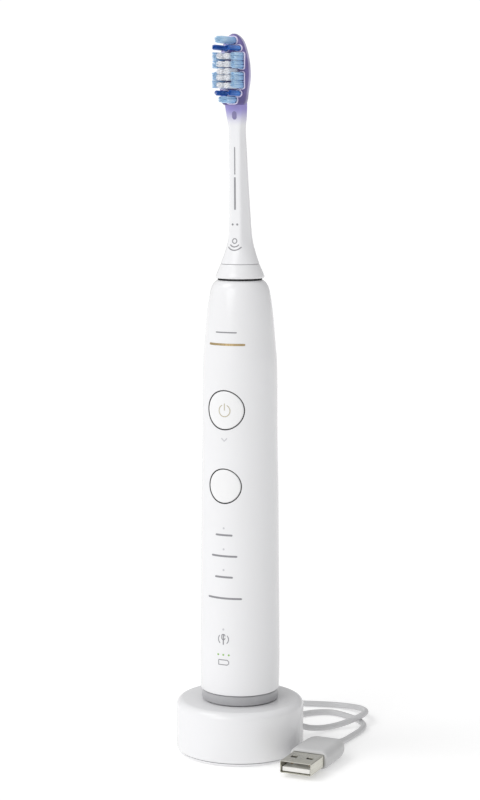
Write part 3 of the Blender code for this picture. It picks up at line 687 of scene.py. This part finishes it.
def make_base():
    low = BASE_SPLIT + 0.25
    inner, under = BASE_R - 1.8, BASE_TOP - 1.8
    outline = [(inner, low), (BASE_R - 0.45, low), (BASE_R - 0.15, low + 0.12), (BASE_R, low + 0.4),
               *arc(BASE_R - BASE_EDGE, BASE_TOP - BASE_EDGE, BASE_EDGE, 0, 90, 14),
               (16.0, BASE_TOP), *arc(POST_R + 0.7, BASE_TOP + 0.7, 0.7, 270, 180, 6),
               (POST_R - 0.15, POST_TOP - 2.0), *arc(POST_R - 0.95, POST_TOP - 0.8, 0.8, 0, 90, 6),
               (0.0, POST_TOP), (0.0, POST_TOP - 1.2), (POST_R - 1.2, POST_TOP - 1.2), (POST_R - 1.2, under),
               (inner - 1.5, under), (inner, under - 1.5)]
    housing = solid("charger_housing", spun(outline), WHITE_ABS)
    way = spun(((0.0, BASE_R - 6.0), (1.85, BASE_R - 6.0), (1.85, BASE_R + 6.0), (0.0, BASE_R + 6.0)), 32)
    cut(housing, solid("exit_way", to_exit(way), None))
    belongs(housing, "charger", "white_plastic", "charger_shell")

    plate = spun([(0.0, 0.4), (16.4, 0.4), (16.4, 1.0), (20.4, 1.0), (20.4, 0.4), (BASE_R - 0.8, 0.4),
                  *arc(BASE_R - 0.8, 0.6, 0.3, 270, 360, 5), (BASE_R - 0.5, BASE_SPLIT), (0.0, BASE_SPLIT)])
    belongs(solid("charger_underside", plate, WHITE_ABS), "charger", "white_plastic", "charger_base_plate")


# ---------------------------------------------------------------- handle

HANDLE_CURVE = [(p.x, p.y) for p in smooth_path(HANDLE_PROFILE, 1.6)]


def handle_radius(z):
    for (r0, z0), (r1, z1) in zip(HANDLE_CURVE, HANDLE_CURVE[1:]):
        if z <= z1:
            return r0 + (r1 - r0) * max(z - z0, 0.0) / (z1 - z0)
    return HANDLE_CURVE[-1][0]


def handle_front(x, z):
    """How far back the handle's front is at a point seen from the front."""
    return -math.sqrt(max(handle_radius(z) ** 2 - x * x, 0.0))


def make_handle():
    under = HANDLE_CURVE[-1][1] - 1.4
    inside = [(r - HANDLE_WALL, z) for r, z in HANDLE_PROFILE[:-3:3]]
    outline = [(14.32, 23.75), (14.40, 23.85), *HANDLE_CURVE, (8.0, 174.26), (4.4, 174.26), (4.4, under),
               (8.2, under), *reversed(inside), (12.95, 23.75)]
    casing = solid("handle_body", spun(outline, 144), WHITE_ABS)
    holes = []
    for height, radius in ((POWER_Z, POWER_R), (MODE_Z, MODE_R)):
        hole = bmesh.new()
        skin(hole, [[(x, y, height + z) for x, z in arc(0.0, 0.0, radius + BUTTON_GAP, 0, 357.5, 143)]
                    for y in (-20.0, BUTTON_BACK)])
        holes.append(solid("hole", hole, None))
    cut(casing, *holes)
    belongs(casing, "handle", "white_plastic", "handle_casing")

    ring = [(9.7, 19.9), (13.6, 19.9), (13.95, 20.05), (14.1, 20.35), (14.12, 22.9), (14.0, 23.3),
            (13.7, 23.45), (9.7, 23.45)]
    belongs(solid("foot_ring", spun(ring), SILVER_PAINT), "handle", "grey_plastic", "base_trim_ring")
    # A black ring in the gap under the collar: painted shade that darkens the gap.
    gap_shade_ring = [(4.45, 174.3), (7.95, 174.3), (8.05, 174.5), (7.95, 174.78), (4.45, 174.78)]
    belongs(solid("shoulder_gap_shade", spun(gap_shade_ring, 96), BLACK_SILICONE), "handle", "rubber")


def make_button(name, body, height, radius):
    """A round cap whose face follows the handle's curve, its rim eased and its middle slightly dished."""
    rows = []
    for share, back in ((0.12, 0), (0.3, 0), (0.5, 0), (0.7, 0), (0.85, 0), (0.93, 0), (0.965, 0.03),
                        (0.99, 0.12), (1.0, 0.3)):
        dish = BUTTON_DISH * (1 - blend(share, 0.0, 0.95))
        rows.append([(x, handle_front(x, height + z) + dish + back, height + z)
                     for x, z in arc(0.0, 0.0, radius * share, 0, 356.25, 95)])
    rows.append([(x, BUTTON_BACK, height + z) for x, z in arc(0.0, 0.0, radius, 0, 356.25, 95)])
    cap = solid(name + "_cap", skin(bmesh.new(), rows), BUTTON_ABS)
    return belongs(cap, body, "white_plastic", name)


def make_slot_shade_ring(name, height, radius):
    """A black ring in the slot round a button, just under the surface: painted shade that darkens the slot."""
    rows = []
    outer = radius + BUTTON_GAP
    for r, back in ((radius + 0.05, 1.6), (radius + 0.05, 0.16), (radius + 0.12, 0.07), (outer - 0.06, 0.05),
                    (outer, 0.12), (outer, 1.6)):
        rows.append([(x, handle_front(x, height + z) + back, height + z)
                     for x, z in arc(0.0, 0.0, r, 0, 356.25, 95)])
    belongs(solid(name, skin(bmesh.new(), rows, ring=True), BLACK_SILICONE), "handle", "rubber")


# ---------------------------------------------------------------- printed marks

def stroke(bm, line, width, front):
    """A round-ended stroke of ink along a line of (x, z) points, wrapped on the surface front(x, z)."""
    half = width / 2
    given = [Vector(point) for point in line]
    line = given[:1]
    for a, b in zip(given, given[1:]):
        steps = max(1, round((b - a).length / 0.4))
        line += [a.lerp(b, (i + 1) / steps) for i in range(steps)]
    first = (line[1] - line[0]).normalized() if len(line) > 1 else Vector((1.0, 0.0))
    last = (line[-1] - line[-2]).normalized() if len(line) > 1 else Vector((1.0, 0.0))
    ends = [math.radians(a) for a in (8, 30, 60)]
    stations = [(line[0] - first * half * math.cos(a), first, half * math.sin(a)) for a in ends]
    for i, point in enumerate(line):
        before, after = line[max(i - 1, 0)], line[min(i + 1, len(line) - 1)]
        along = (after - before).normalized() if len(line) > 1 else first
        stations.append((point, along, half))
    stations += [(line[-1] + last * half * math.cos(a), last, half * math.sin(a)) for a in reversed(ends)]
    loops = []
    for point, along, reach in stations:
        side = Vector((-along.y, along.x)) * reach
        a, b = point - side, point + side
        loops.append([(a.x, front(*a) + INK_ROOT, a.y), (a.x, front(*a) - INK, a.y),
                      (point.x, front(*point) - INK, point.y),
                      (b.x, front(*b) - INK, b.y), (b.x, front(*b) + INK_ROOT, b.y)])
    skin(bm, loops)


def marks(name, strokes, mat, body, slot, front):
    """One printed sign: its strokes, each a line and a width."""
    bm = bmesh.new()
    for line, width in strokes:
        stroke(bm, line, width, front)
    return belongs(solid(name, bm, mat), body, slot)


def level(x0, x1, z):
    return [(x0, z), (x1, z)]


def upright(x, z0, z1):
    return [(x, z0), (x, z1)]


def power_front(x, z):
    """How far back the power button's dished face is."""
    r = min(math.hypot(x, z - POWER_Z) / POWER_R, 1.0)
    return handle_front(x, z) + BUTTON_DISH * (1 - blend(r, 0.0, 0.95))


def make_marks():
    power = [(arc(0.0, POWER_Z - 0.2, 2.15, 118, 422, 36), 0.32), (upright(0.0, POWER_Z, POWER_Z + 2.3), 0.32)]
    marks("power_sign", power, PALE_GOLD_INK, "power_button", "grey_plastic", power_front)
    bars = ((83.1, 3.0), (75.4, 4.7), (67.7, 3.2), (59.9, 6.3))
    brush = [(upright(0.0, 42.9, 46.4), 0.42), (rounded(1.3, 2.0, 0.6, 0.0, 45.6, 4), 0.32),
             (arc(0.0, 44.8, 2.0, 140, 225, 8), 0.32), (arc(0.0, 44.8, 2.0, -45, 40, 8), 0.32)]
    cell = [(-1.9, 35.3), (1.5, 35.3), (2.1, 35.75), (2.1, 36.6), (1.5, 37.1), (-1.9, 37.1), (-1.9, 35.3)]
    for name, strokes, mat, slot in (
            ("name_line", [(level(-6.6, 6.6, 151.9), 0.8)], GOLD_FOIL, "grey_plastic"),
            ("fine_line", [(level(-3.9, 3.9, 156.2), 0.45)], GREY_INK, "grey_plastic"),
            ("pressure_sign", [([(-1.0, 118.2), (0.0, 117.2), (1.0, 118.2)], 0.4)], PALE_INK, "grey_plastic"),
            ("mode_bars", [(level(-half, half, z), 0.7) for z, half in bars], GREY_INK, "grey_plastic"),
            ("mode_lights", [([(0.0, z)], 0.8) for z in (85.6, 77.9, 70.3, 48.4)], PALE_INK, "clear"),
            ("brush_sign", brush, GREY_INK, "grey_plastic"),
            ("battery_sign", [(cell, 0.3)], GREY_INK, "grey_plastic"),
            ("battery_lights", [([(x, 39.0)], 0.75) for x in (-2.1, 0.0, 2.1)], GREEN_LENS, "clear")):
        marks(name, strokes, mat, "handle", slot, handle_front)


# ---------------------------------------------------------------- brush head

NECK = smooth_path([Vector((z, w, d)) for z, w, d, f in NECK_SECTIONS], 0.8)
NECK_FORWARD = smooth_path([Vector((z, f, 0.0)) for z, w, d, f in NECK_SECTIONS], 0.8)


def neck_size(z):
    """Half width, half depth and forward shift of the neck at a height."""
    def read(path, axis):
        for a, b in zip(path, path[1:]):
            if z <= b.x:
                return a[axis] + (b[axis] - a[axis]) * max(z - a.x, 0.0) / (b.x - a.x)
        return path[-1][axis]
    return read(NECK, 1), read(NECK, 2), read(NECK_FORWARD, 1)


def neck_loop(z, sides=96):
    """Round at the collar, higher up a flat front with two sloping flanks and a round back."""
    wide, deep, forward = neck_size(z)
    share = blend(z, 181.0, 192.0)
    crisp, slope = 12.0, math.radians(27.0)
    loop = []
    for i in range(sides):
        a = math.tau * (i + 0.5) / sides
        c, s = math.cos(a), math.sin(a)
        reach = 1 / math.hypot(c / wide, s / deep)
        if s < 0:
            front = -s / (0.97 * deep)
            flank = (abs(c) * math.cos(slope) - s * math.sin(slope)) / (wide * math.cos(slope))
            reach += share * ((front ** crisp + flank ** crisp) ** (-1 / crisp) - reach)
        loop.append((reach * c, reach * s - forward, z))
    return loop


def neck_front(x, z):
    """How far back the neck's front is at a point seen from the front."""
    front = sorted(point for point in neck_loop(z) if point[1] < -neck_size(z)[2])
    for (x0, y0, _), (x1, y1, _) in zip(front, front[1:]):
        if x0 <= x <= x1:
            return y0 + (y1 - y0) * (x - x0) / (x1 - x0)
    return front[0][1]


def make_neck():
    collar = [(5.4, COLLAR_FOOT), (8.35, COLLAR_FOOT), (8.64, 175.03), (8.8, 175.25), (8.84, 175.6),
              (8.3, 177.0), (7.9, 177.9), (7.52, 178.7), (7.2, 179.5), (7.04, 179.85), (6.9, 180.0),
              (5.4, 180.0)]
    belongs(solid("neck_collar", spun(collar), WHITE_ABS), "brush_head", "white_plastic", "collar_ring")
    heights = [NECK_FOOT, NECK_FOOT + 0.1, NECK_FOOT + 0.38]
    while heights[-1] < NECK_TOP - 1.0:
        heights.append(heights[-1] + 0.9)
    heights.append(NECK_TOP)
    loops = [neck_loop(z) for z in heights]
    loops[0] = [(x * 0.985, y * 0.985, z) for x, y, z in loops[0]]
    stem = solid("brush_stem", skin(bmesh.new(), loops), NECK_ACETAL)
    bore = spun(((0.0, 170.0), (NECK_BORE_R, 170.0), (NECK_BORE_R, NECK_BORE_TOP), (0.0, NECK_BORE_TOP)), 48)
    cut(stem, solid("bore", bore, None))
    belongs(stem, "brush_head", "white_plastic", "brush_neck")
    lines = [(upright(0.0, 221.6, 212.2), 0.4), (upright(0.0, 210.8, 199.8), 0.65)]
    waves = [(arc(0.0, 188.4, 2.1, 222, 318, 10), 0.42), (arc(0.0, 188.4, 3.3, 222, 318, 12), 0.42),
             (arc(0.0, 188.4, 0.85, 0, 360, 16), 0.36)]
    for name, strokes, mat, slot in (
            ("stem_line", lines, GREY_INK, "grey_plastic"), ("sync_sign", waves, GREY_INK, "grey_plastic"),
            ("type_sign", [([(x, 194.3)], 0.8) for x in (-0.9, 0.9)], GREY_INK, "grey_plastic"),
            ("wear_window", [(upright(0.15, 233.5, 232.3), 1.75)], WINDOW_PP, "purple_plastic")):
        marks(name, strokes, mat, "brush_head", slot, neck_front)


def head_outline(inset):
    """The head's outline as (x, z) points, drawn in by inset."""
    right = smooth_path([(x, z, 0.0) for x, z in HEAD_SIDE], 0.5)
    shape = [(p.x, p.y) for p in right] + [(-p.x, p.y) for p in reversed(right)]
    drawn = []
    for i, (x, z) in enumerate(shape):
        ax, az = shape[i - 1]
        bx, bz = shape[(i + 1) % len(shape)]
        along = Vector((bx - ax, bz - az)).normalized()
        drawn.append((x - along.y * inset, z + along.x * inset))
    return drawn


def make_head():
    stations = ((HEAD_FACE, 0.75), (HEAD_FACE + 0.12, 0.4), (HEAD_FACE + 0.4, 0.12), (HEAD_FACE + 0.8, 0.0),
                (HEAD_BACK - 1.5, 0.0), (HEAD_BACK - 0.9, 0.12), (HEAD_BACK - 0.45, 0.45),
                (HEAD_BACK - 0.15, 1.0), (HEAD_BACK, 1.9))
    bm = bmesh.new()
    skin(bm, [[(x, y, max(z, HEAD_BOTTOM)) for x, z in head_outline(inset)] for y, inset in stations])
    belongs(solid("brush_back", bm, VIOLET_PP), "brush_head", "purple_plastic", "head_plate")


def bristle_tree():
    """Filaments stood on a flat footprint at an even spacing, each leaning a little its own way."""
    tree = bpy.data.node_groups.new("bristle_tufts", "GeometryNodeTree")
    face = tree.interface
    face.new_socket("Geometry", in_out="OUTPUT", socket_type="NodeSocketGeometry")
    face.new_socket("Geometry", in_out="INPUT", socket_type="NodeSocketGeometry")
    for name, kind in (("Length", "Float"), ("Radius", "Float"), ("Spacing", "Float"), ("Lean", "Float"),
                       ("Uneven", "Float"), ("Seed", "Int"), ("Finish", "Material")):
        face.new_socket(name, in_out="INPUT", socket_type="NodeSocket" + kind)
    given = add(tree, "NodeGroupInput").outputs
    spots = add(tree, "GeometryNodeDistributePointsOnFaces", {
        "Mesh": given["Geometry"], "Distance Min": given["Spacing"], "Density Max": MOST_POINTS,
        "Seed": given["Seed"]}, distribute_method="POISSON")
    shank_length = maths(tree, "MULTIPLY", given["Length"], 1 - TIP_SHARE)
    shank = add(tree, "GeometryNodeMeshCone", {"Vertices": 6, "Radius Top": given["Radius"],
                                               "Radius Bottom": given["Radius"], "Depth": shank_length})
    tip_length = maths(tree, "MULTIPLY", given["Length"], TIP_SHARE)
    tip_radius = maths(tree, "MULTIPLY", given["Radius"], 0.5)
    tip = add(tree, "GeometryNodeMeshCone", {"Vertices": 6, "Radius Top": tip_radius,
                                             "Radius Bottom": given["Radius"], "Depth": tip_length})
    raised = add(tree, "GeometryNodeTransform", {
        0: tip.outputs[0], "Translation": add(tree, "ShaderNodeCombineXYZ", {"Z": shank_length}).outputs[0]})
    filament = add(tree, "GeometryNodeJoinGeometry")
    tree.links.new(shank.outputs[0], filament.inputs[0])
    tree.links.new(raised.outputs[0], filament.inputs[0])
    under = maths(tree, "MULTIPLY", given["Lean"], -1.0)
    lean = add(tree, "FunctionNodeRandomValue", {
        0: add(tree, "ShaderNodeCombineXYZ", {"X": under, "Y": under}).outputs[0],
        1: add(tree, "ShaderNodeCombineXYZ", {"X": given["Lean"], "Y": given["Lean"]}).outputs[0],
        "Seed": given["Seed"]}, data_type="FLOAT_VECTOR")
    turn = add(tree, "FunctionNodeEulerToRotation", {0: lean.outputs[0]}).outputs[0]
    leaning = add(tree, "FunctionNodeRotateRotation", {0: spots.outputs["Rotation"], 1: turn},
                  rotation_space="LOCAL")
    short = maths(tree, "SUBTRACT", 1.0, given["Uneven"])
    size = add(tree, "FunctionNodeRandomValue", {2: short, 3: 1.0, "Seed": given["Seed"]}, data_type="FLOAT")
    stood = add(tree, "GeometryNodeInstanceOnPoints", {
        "Points": spots.outputs["Points"], "Instance": filament.outputs[0], "Rotation": leaning.outputs[0],
        "Scale": add(tree, "ShaderNodeCombineXYZ", {"X": 1.0, "Y": 1.0, "Z": size.outputs[1]}).outputs[0]})
    real = add(tree, "GeometryNodeRealizeInstances", {0: stood.outputs[0]})
    painted = add(tree, "GeometryNodeSetMaterial", {"Geometry": real.outputs[0], "Material": given["Finish"]})
    add(tree, "NodeGroupOutput", {0: painted.outputs[0]})
    return tree


def grow(name, tree, spots, length, finish, slot, seed, nodes):
    """Bristles on flat footprints that lie on the head's face."""
    bm = bmesh.new()
    for x, z, width, height, corner in spots:
        outline = rounded(width - 0.2, height - 0.2, max(corner - 0.1, 0.05), x, z, 4)
        bm.faces.new([bm.verts.new((a, HEAD_FACE + 0.05, b)) for a, b in outline]).normal_update()
    for f in bm.faces:
        if f.normal.y > 0:
            f.normal_flip()
    bmesh.ops.scale(bm, vec=(MM, MM, MM), verts=bm.verts)
    mesh = bpy.data.meshes.new(name)
    bm.to_mesh(mesh)
    bm.free()
    obj = bpy.data.objects.new(name, mesh)
    bpy.context.collection.objects.link(obj)
    modifier = obj.modifiers.new("bristles", "NODES")
    modifier.node_group = tree
    values = {"Length": length * MM, "Radius": FILAMENT_R * MM, "Spacing": FILAMENT_GAP * MM, "Lean": LEAN,
              "Uneven": UNEVEN, "Seed": seed, "Finish": finish}
    for item in tree.interface.items_tree:
        if item.in_out == "INPUT" and item.name in values:
            modifier[item.identifier] = values[item.name]
    applied(obj)
    obj.data.materials.clear()
    obj.data.materials.append(finish)
    return belongs(obj, "brush_head", slot, *nodes)


def make_bristles():
    tree = bristle_tree()
    blue, dark, white = "light_blue_bristle", "dark_blue_bristle", "white_bristle"
    for name, spots, length, finish, slot, seed, nodes in (
            ("top_bristles", TOP_TUFT, 11.0, LIGHT_NYLON, blue, 3, ["top_tuft"]),
            ("bottom_bristles", BOTTOM_TUFT, 8.0, LIGHT_NYLON, blue, 4, ["bottom_tuft"]),
            ("upper_round_bristles", ROUND_TUFTS[:2], 10.3, DARK_NYLON, dark, 5,
             ["upper_left_tuft", "upper_right_tuft"]),
            ("lower_round_bristles", ROUND_TUFTS[2:], 8.2, DARK_NYLON, dark, 6,
             ["lower_left_tuft", "lower_right_tuft"]),
            ("wall_bristles", WALL_TUFTS, 7.9, LIGHT_NYLON, blue, 8,
             [f"{a}_{b}_wall" for a in ("upper", "lower") for b in ("left", "right")]),
            ("row_bristles", ROW_TUFTS, 8.5, WHITE_NYLON, white, 13,
             [f"white_row_{i}" for i in range(1, 6)])):
        grow(name, tree, spots, length, finish, slot, seed, nodes)

    bm = bmesh.new()
    for x, z, width, height, corner in TOP_TUFT + BOTTOM_TUFT + ROUND_TUFTS:
        rim(bm, x, z, width, height, corner, 0.45)
    for x in (-WALL_X, WALL_X):
        for z in WALL_HEIGHTS:
            rim(bm, x, z, WALL_W, WALL_H, 0.5, 0.4)
    belongs(solid("tuft_rims", bm, RIM_PP), "brush_head", "purple_plastic")


def rim(bm, x, z, width, height, corner, grown):
    """A low rounded rim on the head's face round a tuft's foot."""
    eased = RIM_HEIGHT - 0.15
    skin(bm, [[(a, HEAD_FACE - up, b)
               for a, b in rounded(width + 2 * out, height + 2 * out, corner + out, x, z)]
              for out, up in ((0.02, -0.2), (0.02, eased), (0.12, RIM_HEIGHT), (grown - 0.15, RIM_HEIGHT),
                              (grown, eased), (grown, -0.2))], ring=True)


make_base()
make_handle()
make_button("power_button", "power_button", POWER_Z, POWER_R)
make_button("mode_button", "mode_button", MODE_Z, MODE_R)
# black rings in the two button slots: painted shade
make_slot_shade_ring("power_slot_shade", POWER_Z, POWER_R)
make_slot_shade_ring("mode_slot_shade", MODE_Z, MODE_R)
make_marks()
make_neck()
make_head()
make_bristles()

# the pieces that stay as the CAD has them, each with its finish
INSIDE = {
    "charger_foot": BLACK_SILICONE, "base_seal": BLACK_SILICONE, "shaft_seal": BLACK_SILICONE,
    "charger_board": BOARD, "circuit_board": BOARD, "charger_coil": COPPER, "receiver_coil": COPPER,
    "motor_winding": COPPER, "charger_core": FERRITE, "stator_core": FERRITE, "base_cap": GREY_PBT,
    "chassis": WHITE_POM, "drive_housing": WHITE_POM, "coupling_sleeve": WHITE_POM, "battery_cell": CELL_SLEEVE,
    "battery_bottom_tab": PLUG_STEEL, "battery_top_tab": PLUG_STEEL, "power_switch": PLUG_STEEL,
    "mode_switch": PLUG_STEEL, "rear_bearing": TURNED_STEEL, "front_bearing": TURNED_STEEL,
    "rotor_magnet": TURNED_STEEL, "drive_shaft": TURNED_STEEL, "mode_light_guide": CLEAR_PC,
    "battery_light_guide": CLEAR_PC,
}
for node_name, finish in INSIDE.items():
    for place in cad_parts[node_name].material_slots:
        place.material = finish
